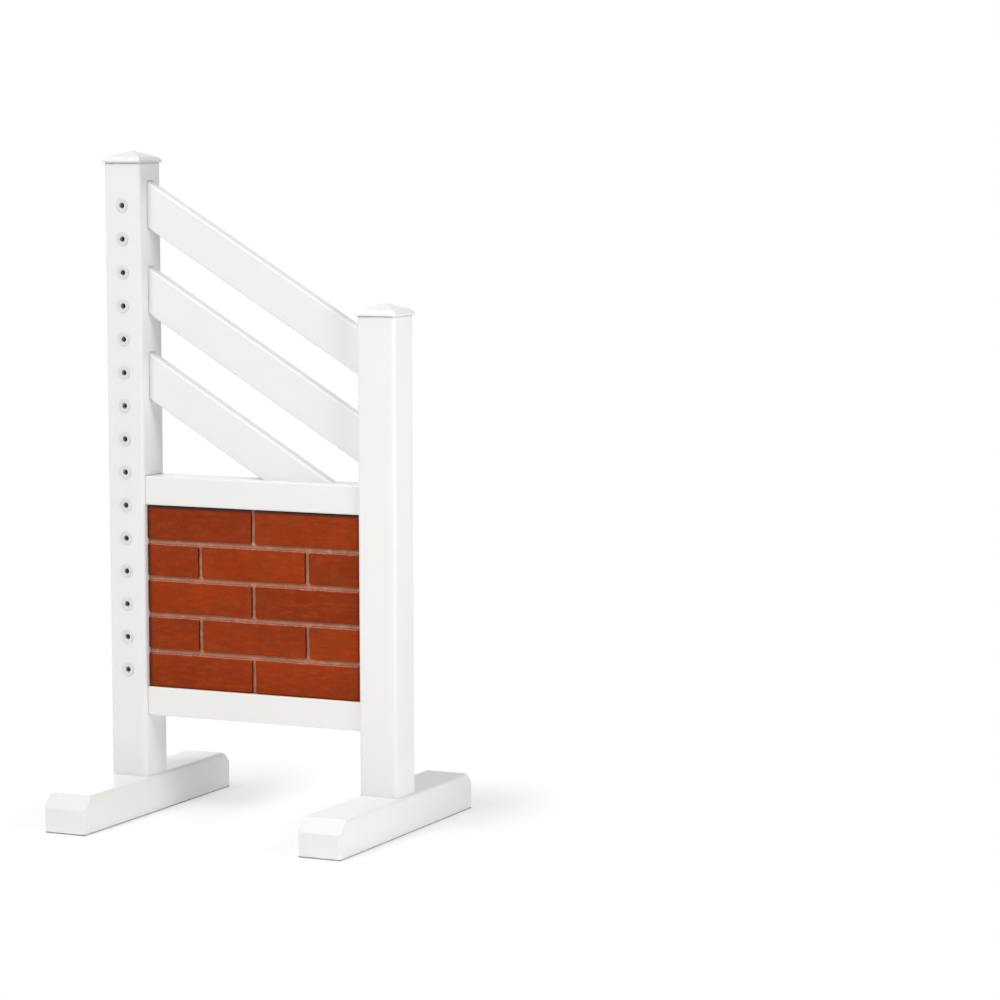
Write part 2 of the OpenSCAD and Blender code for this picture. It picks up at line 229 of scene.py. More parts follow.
class StudioSettings(bpy.types.PropertyGroup):
    """Camera, lamps and floor"""

    camera_place: FloatVectorProperty(
        name="Camera", description="Place of the camera", subtype="TRANSLATION", unit="LENGTH",
        size=3, default=(3.76176, -6.74704, 1.54535))
    azimuth: FloatProperty(
        name="Azimuth", description="Turn of the camera round the wing", subtype="ANGLE",
        unit="ROTATION", default=math.radians(25.084))
    elevation: FloatProperty(
        name="Elevation", description="How far the camera looks down", subtype="ANGLE",
        unit="ROTATION", default=math.radians(5.994))
    roll: FloatProperty(
        name="Roll", description="Tilt of the camera about its own line of sight", subtype="ANGLE",
        unit="ROTATION", default=math.radians(-0.123))
    lens: FloatProperty(
        name="Lens", description="Focal length of the camera on a 36 mm frame", subtype="DISTANCE_CAMERA",
        unit="CAMERA", min=20, max=300, default=122.94)
    key: FloatProperty(
        name="Key lamp", description="Power of the high lamp in front of the wing", subtype="POWER",
        unit="POWER", min=0, default=124)
    top: FloatProperty(
        name="Top lamp", description="Power of the broad lamp above the wing", subtype="POWER",
        unit="POWER", min=0, default=58)
    side: FloatProperty(
        name="Side lamp", description="Power of the near lamp beside the short post", subtype="POWER",
        unit="POWER", min=0, default=12)
    back: FloatProperty(
        name="Back lamp", description="Power of the low lamp behind the tall post", subtype="POWER",
        unit="POWER", min=0, default=15)
    sky: FloatProperty(
        name="Sky", description="Strength of the even light from all round", min=0, max=2, default=0.23)
    glow: FloatProperty(
        name="Floor glow", description="Light that the floor gives off by itself", min=0, max=1,
        default=0.26)
    lift: FloatProperty(
        name="Floor lift", description="White added to the floor where the camera sees it", min=0, max=1,
        default=0.10)
    floor: FloatVectorProperty(
        name="Floor", description="Colour of the floor", subtype="COLOR", size=4, min=0, max=1,
        default=(0.95, 0.95, 0.95, 1))


# ---- node helpers ----


FLOAT, COLOUR, VECTOR = "NodeSocketFloat", "NodeSocketColor", "NodeSocketVector"


def feed(tree, socket, value):
    """Links an input to another node's output, or gives it a value."""
    if isinstance(value, bpy.types.NodeSocket):
        tree.links.new(value, socket)
    else:
        socket.default_value = value


def put(tree, kind, values=None, **settings):
    """Adds a node, sets its properties and sets or links its inputs."""
    node = tree.nodes.new(kind)
    for name, value in settings.items():
        setattr(node, name, value)
    for name, value in (values or {}).items():
        feed(tree, node.inputs[name], value)
    return node


def calc(tree, operation, *values, clamp=False):
    """One Math node; returns its result."""
    node = put(tree, "ShaderNodeMath", operation=operation, use_clamp=clamp)
    for socket, value in zip(node.inputs, values):
        feed(tree, socket, value)
    return node.outputs[0]


def remap(tree, value, low, high, to_low, to_high, smooth=False):
    """A Map Range node; returns its result."""
    return put(tree, "ShaderNodeMapRange", {
        "Value": value, "From Min": low, "From Max": high, "To Min": to_low, "To Max": to_high},
        interpolation_type="SMOOTHSTEP" if smooth else "LINEAR").outputs[0]


def blend(tree, factor, a, b):
    """A Mix node for colours; returns its result."""
    node = put(tree, "ShaderNodeMix", data_type="RGBA")
    # of the node's sockets, 6, 7 and the second output are the ones for colours
    for socket, value in ((node.inputs[0], factor), (node.inputs[6], a), (node.inputs[7], b)):
        feed(tree, socket, value)
    return node.outputs[2]


def cloudy(tree, place, scale, detail, roughness=0.5):
    """A Noise Texture node; returns its value."""
    return put(tree, "ShaderNodeTexNoise", {
        "Vector": place, "Scale": scale, "Detail": detail, "Roughness": roughness}).outputs[0]


def split(tree, vector):
    """The x, y and z of a vector."""
    return put(tree, "ShaderNodeSeparateXYZ", {0: vector}).outputs


def facing(tree):
    """The x, y and z of the surface's own normal."""
    return split(tree, put(tree, "ShaderNodeNewGeometry").outputs["Normal"])


def stretched(tree, place, scale, turn=(0, 0, 0)):
    """Coordinates drawn out along an axis."""
    return put(tree, "ShaderNodeMapping", {"Vector": place, "Scale": scale, "Rotation": turn}).outputs[0]


def new_group(name, inputs, outputs):
    """An empty node group with the named sockets."""
    tree = bpy.data.node_groups.new(name, "ShaderNodeTree")
    for label, kind, default in inputs:
        socket = tree.interface.new_socket(label, in_out="INPUT", socket_type=kind)
        if default is not None:
            socket.default_value = default
    for label, kind in outputs:
        tree.interface.new_socket(label, in_out="OUTPUT", socket_type=kind)
    return tree, tree.nodes.new("NodeGroupInput").outputs, tree.nodes.new("NodeGroupOutput").inputs


def tone_drift(name):
    """Group: a colour that drifts lighter and darker over the surface."""
    tree, given, result = new_group(
        name,
        [("Vector", VECTOR, None), ("Color", COLOUR, None), ("Scale", FLOAT, 4), ("Amount", FLOAT, 0.02)],
        [("Color", COLOUR)])
    cloud = cloudy(tree, given["Vector"], given["Scale"], 5, 0.55)
    swing = calc(tree, "MULTIPLY", calc(tree, "SUBTRACT", cloud, 0.5), given["Amount"])
    level = calc(tree, "ADD", calc(tree, "MULTIPLY", swing, 4), 1)
    scaled = put(tree, "ShaderNodeVectorMath", {0: given["Color"], "Scale": level}, operation="SCALE")
    tree.links.new(scaled.outputs[0], result["Color"])
    return tree


def fine_grain(name):
    """Group: a fine height and a roughness that varies with it."""
    tree, given, result = new_group(
        name,
        [("Vector", VECTOR, None), ("Scale", FLOAT, 400), ("Roughness", FLOAT, 0.4), ("Spread", FLOAT, 0.1)],
        [("Height", FLOAT), ("Roughness", FLOAT)])
    fine = cloudy(tree, given["Vector"], given["Scale"], 3, 0.6)
    broad = cloudy(tree, given["Vector"], 9, 4)
    swing = calc(tree, "MULTIPLY", calc(tree, "SUBTRACT", broad, 0.5), given["Spread"])
    tree.links.new(fine, result["Height"])
    tree.links.new(calc(tree, "ADD", given["Roughness"], swing, clamp=True), result["Roughness"])
    return tree


def occlusion_shade(name):
    """Group: painted shade where surfaces meet, darkening the colour by ambient occlusion."""
    tree, given, result = new_group(
        name,
        [("Vector", VECTOR, None), ("Color", COLOUR, None), ("Corner shade", COLOUR, None), ("Reach", FLOAT, 0.01),
         ("Amount", FLOAT, 0.3)],
        [("Color", COLOUR), ("Mask", FLOAT)])
    corner = put(tree, "ShaderNodeAmbientOcclusion", {"Distance": given["Reach"]}, samples=6)
    shade = remap(tree, corner.outputs["AO"], 0.35, 0.95, 1, 0, smooth=True)
    broken = remap(tree, cloudy(tree, given["Vector"], 35, 4), 0.3, 0.7, 0.6, 1)
    mask = calc(tree, "MULTIPLY", calc(tree, "MULTIPLY", shade, broken), given["Amount"], clamp=True)
    tree.links.new(blend(tree, mask, given["Color"], given["Corner shade"]), result["Color"])
    tree.links.new(mask, result["Mask"])
    return tree


def edge_rub(name):
    """Group: a mask of the outer edges, where handling rubs the surface."""
    tree, given, result = new_group(
        name, [("Vector", VECTOR, None), ("Radius", FLOAT, 0.003), ("Amount", FLOAT, 0.5)], [("Mask", FLOAT)])
    soft = put(tree, "ShaderNodeBevel", {"Radius": given["Radius"]}, samples=4)
    true = put(tree, "ShaderNodeNewGeometry")
    same = put(tree, "ShaderNodeVectorMath", {0: soft.outputs[0], 1: true.outputs["Normal"]},
               operation="DOT_PRODUCT")
    turned = remap(tree, same.outputs["Value"], 0.998, 0.93, 0, 1)
    broken = remap(tree, cloudy(tree, given["Vector"], 22, 5), 0.42, 0.6, 0.2, 1)
    mask = calc(tree, "MULTIPLY", calc(tree, "MULTIPLY", turned, broken), given["Amount"], clamp=True)
    tree.links.new(mask, result["Mask"])
    return tree


def use(tree, build, values):
    """Places a shared group in a material, and builds it the first time; returns its outputs."""
    group = bpy.data.node_groups.get(build.__name__) or build(build.__name__)
    return put(tree, "ShaderNodeGroup", values, node_tree=group).outputs


def new_material(name):
    """A material with only a Principled shader; returns it, its tree, the shader and its coordinates."""
    material = bpy.data.materials.new(name)
    material.use_nodes = True
    tree = material.node_tree
    shader = tree.nodes["Principled BSDF"]
    place = put(tree, "ShaderNodeTexCoord").outputs["Object"]
    return material, tree, shader, place


def finish(tree, shader, colour, roughness, height, distance, strength):
    """Joins a colour, a roughness and a height to the shader."""
    bump = put(tree, "ShaderNodeBump", {"Height": height, "Distance": distance, "Strength": strength})
    tree.links.new(colour, shader.inputs["Base Color"])
    tree.links.new(roughness, shader.inputs["Roughness"])
    tree.links.new(bump.outputs[0], shader.inputs["Normal"])


# ---- materials ----


def white_plastic(name, settings, colour=None, draw=(1, 1, 1), turn=(0, 0, 0), peel=0.0, corner_shade=1.0,
                  painted_shade=None):
    """White plastic with faint lines drawn out along one axis.

    peel is the texture of a moulding. The next two arguments give the share of the usual painted shade in corners,
    and a line of painted shade: the height where it starts, the height where it is full and how strong it is.
    """
    material, tree, shader, place = new_material(name)
    toned = use(tree, tone_drift, {
        "Vector": place, "Color": colour or settings.colour, "Scale": 5, "Amount": 0.012})
    lines = cloudy(tree, stretched(tree, place, draw, turn), 60, 3)
    lined = blend(tree, remap(tree, lines, 0.35, 0.7, 0, 0.03), toned["Color"], DRAWN_LINE)
    # painted shade in corners where surfaces meet
    shaded_corners = use(tree, occlusion_shade, {
        "Vector": place, "Color": lined, "Corner shade": settings.corner_shade, "Reach": 0.012,
        "Amount": settings.corner_shade_amount * corner_shade})
    coloured = shaded_corners["Color"]
    # a line of painted shade, darker between two heights
    if painted_shade:
        shade_from, shade_full, strength = painted_shade
        ragged_by = 0.2 * abs(shade_from - shade_full)
        ragged = remap(tree, cloudy(tree, place, 45, 4), 0.3, 0.7, ragged_by, -ragged_by)
        level = calc(tree, "ADD", split(tree, place)[2], ragged)
        shade_line_mask = remap(tree, level, shade_from, shade_full, 0, strength, smooth=True)
        coloured = blend(tree, shade_line_mask, coloured, SHADE_LINE_COLOUR)
    rubbed = use(tree, edge_rub, {"Vector": place, "Radius": 0.004, "Amount": 0.35})
    grain = use(tree, fine_grain, {
        "Vector": place, "Scale": MOULDED_GRAIN if peel else DRAWN_GRAIN, "Roughness": settings.roughness,
        "Spread": 0.16})
    dull = calc(tree, "ADD", grain["Roughness"], calc(tree, "MULTIPLY", shaded_corners["Mask"], 0.4))
    dull = calc(tree, "ADD", dull, calc(tree, "MULTIPLY", rubbed["Mask"], 0.18), clamp=True)
    height = calc(tree, "ADD", grain["Height"], calc(tree, "MULTIPLY", lines, 1.5))
    finish(tree, shader, coloured, dull, height, 0.00002 + 0.00006 * peel, 0.35)
    return material


def sleeve_plastic(settings):
    """Hard greyish plastic of the pin hole liners, with painted shade round their collars and down the bore."""
    material, tree, shader, place = new_material("sleeve_plastic_finish")
    toned = use(tree, tone_drift, {
        "Vector": place, "Color": settings.sleeve, "Scale": 60, "Amount": 0.03})
    # painted shade round the collars and in the bores' mouths
    shaded_corners = use(tree, occlusion_shade, {
        "Vector": place, "Color": toned["Color"], "Corner shade": SLEEVE_CORNER_SHADE, "Reach": 0.006, "Amount": 0.8})
    # painted shade, darker down the bore
    depth = calc(tree, "ABSOLUTE", split(tree, place)[1])
    inside = remap(tree, depth, BORE_MOUTH, BORE_DARK, 0, 1, smooth=True)
    bore_shaded = blend(tree, calc(tree, "MULTIPLY", inside, 0.75), shaded_corners["Color"], BORE_SHADE)
    grain = use(tree, fine_grain, {"Vector": place, "Scale": 1500, "Roughness": 0.38, "Spread": 0.15})
    finish(tree, shader, bore_shaded, grain["Roughness"], grain["Height"], 0.00003, 0.4)
    return material


def brick_finish(settings):
    """Dry terracotta paint: each brick has its own tone, with cloudy patches, marks, pits and mortar smears, a
    painted highlight on edges that face up, and painted shade on the sides, along the top rail, beside the posts and
    in corners.
    """
    material, tree, shader, place = new_material("brick_finish")
    x, y, z = split(tree, place)
    _, out, up = facing(tree)

    # the body colour: cloudy, a little different on each brick, brown in patches and darker near the ground
    own = put(tree, "ShaderNodeAttribute", attribute_name="brick_tone").outputs["Fac"]
    cloud = cloudy(tree, stretched(tree, place, (0.45, 1, 1)), 15, 6, 0.62)
    tone = calc(tree, "ADD", calc(tree, "MULTIPLY", cloud, 0.80), calc(tree, "MULTIPLY", own, 0.20))
    body = blend(tree, remap(tree, tone, 0.30, 0.62, 0, 1), settings.deep, settings.colour)
    patches = cloudy(tree, stretched(tree, place, (0.7, 1, 1)), 24, 5, 0.6)
    body = blend(tree, remap(tree, patches, 0.48, 0.68, 0, 0.6), body, settings.brown)
    # darker towards the panel's bottom
    darker_low = remap(tree, z, BRICKS_LOW.z + 0.10, BRICKS_LOW.z + 0.01, 0, 0.45, smooth=True)
    body = blend(tree, darker_low, body, settings.deep)

    # drag marks, a thin veil of mortar dust and fine specks
    marks = cloudy(tree, stretched(tree, place, (0.22, 1, 1), (0, 0.05, 0)), 130, 4)
    marked = blend(tree, remap(tree, marks, 0.54, 0.76, 0, 0.7), body, settings.bright)
    marked = blend(tree, remap(tree, marks, 0.44, 0.26, 0, 0.75), marked, settings.deep)
    veil = cloudy(tree, stretched(tree, place, (0.6, 1, 1)), 70, 5, 0.7)
    marked = blend(tree, remap(tree, veil, 0.52, 0.76, 0, 0.06), marked, settings.mortar)
    specks = cloudy(tree, place, 330, 3, 0.65)
    marked = blend(tree, remap(tree, specks, 0.46, 0.30, 0, 0.55), marked, settings.deep)
    marked = blend(tree, remap(tree, specks, 0.56, 0.72, 0, 0.45), marked, settings.bright)

    # pits, which come in groups
    pits = put(tree, "ShaderNodeTexVoronoi", {
        "Vector": stretched(tree, place, (0.5, 1, 1)), "Scale": 95, "Randomness": 1})
    pit = remap(tree, pits.outputs["Distance"], 0.05, 0.16, 1, 0)
    pitted = calc(tree, "MULTIPLY", pit, remap(tree, cloudy(tree, place, 28, 2), 0.52, 0.62, 0, 0.55))
    marked = blend(tree, pitted, marked, settings.deep)

    # mortar smear over the edges that face up, lighter than the mortar itself: partly real smear and partly a
    # painted highlight from above
    low = remap(tree, calc(tree, "ABSOLUTE", y), -BRICKS_LOW.y - 0.0001, -BRICKS_LOW.y - 0.0018, 0, 1)
    ragged = remap(tree, cloudy(tree, place, 160, 4), 0.3, 0.6, 0.35, 1)
    edges = calc(tree, "MULTIPLY", low, remap(tree, up, 0.12, 0.5, 0.04, 1))
    smear_and_highlight = calc(tree, "MULTIPLY", edges, ragged, clamp=True)
    smeared_and_lit = blend(tree, calc(tree, "MULTIPLY", smear_and_highlight, 0.85), marked, settings.smear_and_highlight)

    # painted shade: the sides that face left, right and down stay dark, as do the edges along the top rail and the
    # posts, and the corners
    steep = remap(tree, calc(tree, "ABSOLUTE", out), 0.80, 0.40, 0, 1, smooth=True)
    sunk = calc(tree, "MULTIPLY", steep, remap(tree, up, 0.1, 0.5, 0.68, 0))
    under = remap(tree, z, BRICKS_HIGH.z - 0.010, BRICKS_HIGH.z - 0.003, 0, 0.9, smooth=True)
    beside = remap(tree, calc(tree, "ABSOLUTE", x), BRICKS_HIGH.x - 0.012, BRICKS_HIGH.x - 0.004, 0, 0.7,
                   smooth=True)
    dark = calc(tree, "MAXIMUM", sunk, calc(tree, "MAXIMUM", under, beside))
    shaded_corners = use(tree, occlusion_shade, {
        "Vector": place, "Color": blend(tree, dark, smeared_and_lit, settings.shade), "Corner shade": settings.shade,
        "Reach": 0.014, "Amount": 0.9})

    grain = use(tree, fine_grain, {"Vector": place, "Scale": 520, "Roughness": 0.80, "Spread": 0.12})
    height = calc(tree, "ADD", grain["Height"], calc(tree, "MULTIPLY", marks, 1.6))
    height = calc(tree, "ADD", height, calc(tree, "MULTIPLY", specks, 1.2))
    height = calc(tree, "SUBTRACT", height, calc(tree, "MULTIPLY", pitted, 2.5))
    finish(tree, shader, shaded_corners["Color"], grain["Roughness"], height, 0.00024, 0.7)
    shader.inputs["Specular IOR Level"].default_value = 0.08
    return material


def mortar_finish(settings):
    """Sandy mortar with paler lime in places and painted shade along its sides, where it meets the bricks."""
    material, tree, shader, place = new_material("mortar_finish")
    toned = use(tree, tone_drift, {
        "Vector": place, "Color": settings.mortar, "Scale": 18, "Amount": 0.06})
    sand = cloudy(tree, place, 700, 4, 0.7)
    sanded = blend(tree, remap(tree, sand, 0.35, 0.7, 0, 0.8), toned["Color"], DARK_SAND)
    limed = blend(tree, remap(tree, cloudy(tree, place, 38, 4, 0.6), 0.52, 0.68, 0, 0.5), sanded, LIME)
    # the upper side of a level joint lies in the shade of the brick above
    shaded = blend(tree, remap(tree, facing(tree)[2], -0.4, 0.15, 0.75, 0), limed, JOINT_SHADE)
    # painted shade where the mortar meets the bricks
    shaded_corners = use(tree, occlusion_shade, {
        "Vector": place, "Color": shaded, "Corner shade": JOINT_CORNER_SHADE, "Reach": 0.007, "Amount": 0.9})
    grain = use(tree, fine_grain, {"Vector": place, "Scale": 620, "Roughness": 0.88, "Spread": 0.1})
    height = calc(tree, "ADD", grain["Height"], sand)
    finish(tree, shader, shaded_corners["Color"], grain["Roughness"], height, 0.0005, 0.8)
    shader.inputs["Specular IOR Level"].default_value = 0.08
    return material


def zinc_finish():
    """Bright zinc plate with the dull bloom that it gets."""
    material, tree, shader, place = new_material("zinc_finish")
    toned = use(tree, tone_drift, {"Vector": place, "Color": ZINC, "Scale": 90, "Amount": 0.08})
    bloom = put(tree, "ShaderNodeTexVoronoi", {"Vector": place, "Scale": 260}, feature="SMOOTH_F1")
    bloomed = blend(tree, remap(tree, bloom.outputs["Distance"], 0.2, 0.6, 0, 0.35), toned["Color"],
                    ZINC_BLOOM)
    grain = use(tree, fine_grain, {"Vector": place, "Scale": 1400, "Roughness": 0.36, "Spread": 0.2})
    finish(tree, shader, bloomed, grain["Roughness"], grain["Height"], 0.00003, 0.5)
    shader.inputs["Metallic"].default_value = 1
    return material


def core_finish():
    """Dark pressed core of mixed plastic, seen only from beneath."""
    material, tree, shader, place = new_material("core_finish")
    flakes = put(tree, "ShaderNodeTexVoronoi", {"Vector": place, "Scale": 240})
    flaked = blend(tree, remap(tree, flakes.outputs["Distance"], 0.1, 0.7, 0, 1), CORE_DARK, CORE_LIGHT)
    toned = use(tree, tone_drift, {"Vector": place, "Color": flaked, "Scale": 14, "Amount": 0.06})
    grain = use(tree, fine_grain, {"Vector": place, "Scale": 500, "Roughness": 0.7, "Spread": 0.2})
    finish(tree, shader, toned["Color"], grain["Roughness"], grain["Height"], 0.0001, 0.6)
    return material


def floor_finish(studio):
    """Pale paper that keeps the shadow near each foot and shows as plain white further away."""
    material = bpy.data.materials.new("floor_paper")
    material.use_nodes = True
    tree = material.node_tree
    tree.nodes.clear()
    x, y, _ = split(tree, put(tree, "ShaderNodeTexCoord").outputs["Object"])
    seen = put(tree, "ShaderNodeLightPath").outputs["Is Camera Ray"]
    paper = put(tree, "ShaderNodeBsdfDiffuse", {"Color": studio.floor})
    glow = put(tree, "ShaderNodeEmission", {
        "Color": WHITE, "Strength": remap(tree, seen, 0, 1, studio.glow, studio.lift)})
    lifted = put(tree, "ShaderNodeAddShader", {0: paper.outputs[0], 1: glow.outputs[0]})
    low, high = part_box("short_post_foot")
    aside = calc(tree, "SUBTRACT", calc(tree, "ABSOLUTE", x), (low.x + high.x) / 2)
    near = put(tree, "ShaderNodeCombineXYZ", {
        0: calc(tree, "DIVIDE", aside, FADE_ACROSS),
        1: calc(tree, "DIVIDE", calc(tree, "SUBTRACT", y, FADE_BACK), FADE_ALONG)})
    far = put(tree, "ShaderNodeVectorMath", {0: near.outputs[0]}, operation="LENGTH").outputs["Value"]
    whitened = remap(tree, far, FADE_START, FADE_END, FLOOR_WHITE, 1, smooth=True)
    white = put(tree, "ShaderNodeEmission", {"Color": WHITE, "Strength": 1})
    mixed = put(tree, "ShaderNodeMixShader", {
        0: calc(tree, "MULTIPLY", whitened, seen), 1: lifted.outputs[0], 2: white.outputs[0]})
    put(tree, "ShaderNodeOutputMaterial", {"Surface": mixed.outputs[0]})
    return material


def dress(material, *nodes):
    """Gives the model's own pieces a finish."""
    for name in nodes:
        piece = frame["nodes"][name]
        piece.data.materials.clear()
        piece.data.materials.append(material)


# ---- relief meshes ----


def brick_rectangles(settings):
    """(left, right, low, high) of each brick: running bond, with half bricks at both ends of every second course."""
    half = BRICKS_HIGH.x + PANEL_GAP
    low, high = BRICKS_LOW.z - PANEL_GAP, BRICKS_HIGH.z + PANEL_GAP
    step = (high - low) / settings.courses
    last = settings.courses - 1
    found = []
    for row in range(settings.courses):
        odd = row % 2
        edges = [-half] + [-half + (k - odd / 2) * half for k in range(1, 2 + odd)] + [half]
        for left, right in zip(edges, edges[1:]):
            found.append((
                left + (PANEL_GAP if left == -half else settings.upright / 2),
                right - (PANEL_GAP if right == half else settings.upright / 2),
                low + row * step + (PANEL_GAP if row == 0 else settings.joint / 2),
                low + (row + 1) * step - (PANEL_GAP if row == last else settings.joint / 2)))
    return found


def line_up(length, near, cell):
    """Positions of mesh lines along a side: close together at both ends, even between."""
    count = max(2, round((length - 2 * near[-1]) / cell))
    middle = [near[-1] + (length - 2 * near[-1]) * i / count for i in range(1, count)]
    return near + middle + [length - d for d in reversed(near)]


def outline(columns, rows):
    """The points round the outside of a grid, in order."""
    right, top = columns - 1, rows - 1
    return ([(i, 0) for i in range(right)] + [(right, j) for j in range(top)]
            + [(i, top) for i in range(right, 0, -1)] + [(0, j) for j in range(top, 0, -1)])


def sheet_faces(grid, rim, rear):
    """The corners of each face of a closed sheet: its front, its sides and its back."""
    faces = [(grid[i][j], grid[i + 1][j], grid[i + 1][j + 1], grid[i][j + 1])
             for i in range(len(grid) - 1) for j in range(len(grid[0]) - 1)]
    for k, (i, j) in enumerate(rim):
        n = (k + 1) % len(rim)
        across, up = rim[n]
        faces.append((grid[i][j], rear[k], rear[n], grid[across][up]))
    faces.append(tuple(reversed(rear)))
    return faces


def in_waves(x, z, waves, layer):
    """The place of a point in one layer of noise."""
    return Vector((x * waves[0], z * waves[1], layer))


def stray(x, z, seed):
    """How far a brick's edge strays from straight, from about -1 to 1."""
    return (noise.noise(in_waves(x, z, STRAY_WAVES, seed * 3.7))
            + noise.noise(in_waves(x, z, FINE_WAVES, seed * 1.3)) * FINE_SHARE)


def add_brick(bm, layer, rectangle, side, tone, seed, settings):
    """One brick of the relief, its face towards side (-1 front, 1 back)."""
    left, right, low, high = rectangle
    width, tall = right - left, high - low
    base, relief = -MORTAR_LOW.y, MORTAR_LOW.y - BRICKS_LOW.y
    soft, corner = settings.soft, settings.corner
    near = [soft * part for part in EDGE_LINES]
    us, vs = line_up(width, near, settings.cell), line_up(tall, near, settings.cell)
    chance = random.Random(seed)
    chips = []
    for _ in range(CHIPS):
        along = chance.random()
        spot = chance.choice([(along * width, 0), (along * width, tall), (0, along * tall), (width, along * tall)])
        chips.append((spot, chance.uniform(*CHIP_REACH), chance.uniform(*CHIP_DEPTH)))

    def point(u, v, drop=None):
        """A point of the brick's face, or where drop is given a point of its back, that far below the mortar."""
        # round the corners seen from the front
        cu, cv = min(max(u, corner), width - corner), min(max(v, corner), tall - corner)
        du, dv = u - cu, v - cv
        if du and dv:
            shrink = max(abs(du), abs(dv)) / math.hypot(du, dv)
            u, v = cu + du * shrink, cv + dv * shrink
            edge = corner - max(abs(du), abs(dv))
        else:
            edge = min(u, v, width - u, tall - v)
        # let the edges stray, but never out of the model's box
        x, z = left + u, low + v
        x, z = x + stray(x, z, seed) * settings.wander, z + stray(x, z, seed + 0.5) * settings.wander
        x = min(max(x, BRICKS_LOW.x), BRICKS_HIGH.x)
        z = min(max(z, BRICKS_LOW.z), BRICKS_HIGH.z)
        if drop is not None:
            return Vector((x, side * (base - drop), z))
        # round the face's edge, swell and drag the face, and take the chips off
        rounding = soft - math.sqrt(max(0.0, soft ** 2 - (soft - min(edge, soft)) ** 2))
        swell = noise.fractal(in_waves(x, z, SWELL_WAVES, seed), 0.9, 2.1, 4) * SWELL
        drag = noise.noise(in_waves(x, z, DRAG_WAVES, seed * 5.1)) * DRAG
        lost = sum(depth * max(0.0, 1 - math.hypot(u - a, v - b) / reach)
                   for (a, b), reach, depth in chips)
        height = relief - SPARE - rounding + swell + drag - lost
        return Vector((x, side * (base + min(relief, max(LOWEST, height))), z))

    grid = [[bm.verts.new(point(u, v)) for v in vs] for u in us]
    rim = outline(len(us), len(vs))
    rear = [bm.verts.new(point(us[i], vs[j], drop=SAND)) for i, j in rim]
    for corners in sheet_faces(grid, rim, rear):
        face = bm.faces.new(corners if side < 0 else corners[::-1])
        face.smooth = True
        face[layer] = tone


def mesh_piece(name, bm, material, slot, *replaced):
    """Turns a bmesh into a piece of the wing that stands for nodes of the model."""
    mesh = bpy.data.meshes.new(name)
    bm.to_mesh(mesh)
    bm.free()
    mesh.set_sharp_from_angle(angle=SHARP)
    piece = bpy.data.objects.new(name, mesh)
    bpy.context.scene.collection.objects.link(piece)
    mesh.materials.append(material)
    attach(piece, "root")
    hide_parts(*replaced)
    return piece


def mortar_mesh(side, rectangles, settings):
    """The mortar sheet, its joints struck hollow and its surface sandy."""
    low, high = MORTAR_LOW, MORTAR_HIGH
    widest = WIDEST_JOINT * settings.joint
    joints_z = sorted({(a[3] + b[2]) / 2 for a in rectangles for b in rectangles if 0 < b[2] - a[3] < widest})
    uprights = sorted({(round((a[1] + b[0]) / 2, 5), a[2], a[3]) for a in rectangles for b in rectangles
                       if a[2] == b[2] and 0 < b[0] - a[1] < widest})
    reach = settings.joint / 2

    def lines(start, end, centres, cell):
        """Positions of mesh lines along a side: close together across the joints, even elsewhere."""
        made = {round(c + s * reach, 5) for c in centres for s in JOINT_LINES}
        count = round((end - start) / cell)
        for i in range(count + 1):
            p = start + (end - start) * i / count
            if all(abs(p - c) > JOINT_CLEAR * reach for c in centres) or i in (0, count):
                made.add(round(p, 5))
        return sorted(made)

    def point(x, z):
        """A point of the sheet's front, sunk where it lies in a joint."""
        off = min((abs(z - c) for c in joints_z), default=1)  # from the middle of the nearest joint
        for c, a, b in uprights:
            if a - reach <= z <= b + reach:
                off = min(off, abs(x - c))
        hollow = settings.strike * (1 - (off / reach) ** 2) if off < reach else 0
        sand = noise.fractal(in_waves(x, z, SAND_WAVES, side * 9), 0.8, 2.2, 4) * SAND_RISE
        return Vector((x, side * (-low.y - SAND - hollow + min(SAND, sand)), z))

    xs = lines(low.x, high.x, sorted({u[0] for u in uprights}), settings.cell)
    zs = lines(low.z, high.z, joints_z, settings.cell)
    bm = bmesh.new()
    front = [[bm.verts.new(point(x, z)) for z in zs] for x in xs]
    rim = outline(len(xs), len(zs))
    rear = [bm.verts.new(Vector((xs[i], side * -high.y, zs[j]))) for i, j in rim]
    for corners in sheet_faces(front, rim, rear):
        bm.faces.new(corners if side < 0 else corners[::-1]).smooth = True
    return bm


# ---- studio ----


def add_camera(scene, studio):
    """The camera, at the photograph's viewing angle."""
    lens = bpy.data.cameras.new("studio_camera")
    lens.sensor_width = 36
    lens.lens = studio.lens
    lens.clip_start, lens.clip_end = 0.1, 100
    camera = bpy.data.objects.new("studio_camera", lens)
    scene.collection.objects.link(camera)
    turn = (Matrix.Rotation(studio.azimuth, 4, "Z")
            @ Matrix.Rotation(math.pi / 2 - studio.elevation, 4, "X")
            @ Matrix.Rotation(studio.roll, 4, "Z"))
    camera.matrix_world = Matrix.Translation(studio.camera_place) @ turn
    scene.camera = camera


def add_lamp(scene, name, place, target, size, power, tint=(1.0, 1.0, 1.0)):
    """A soft rectangular lamp that points at a target and doesn't show itself."""
    data = bpy.data.lights.new(name, "AREA")
    data.shape = "RECTANGLE"
    data.size, data.size_y = size
    data.energy = power
    data.color = tint
    lamp = bpy.data.objects.new(name, data)
    scene.collection.objects.link(lamp)
    lamp.location = place
    lamp.rotation_mode = "QUATERNION"
    lamp.rotation_quaternion = (Vector(target) - Vector(place)).to_track_quat("-Z", "Y")
    lamp.visible_camera = False


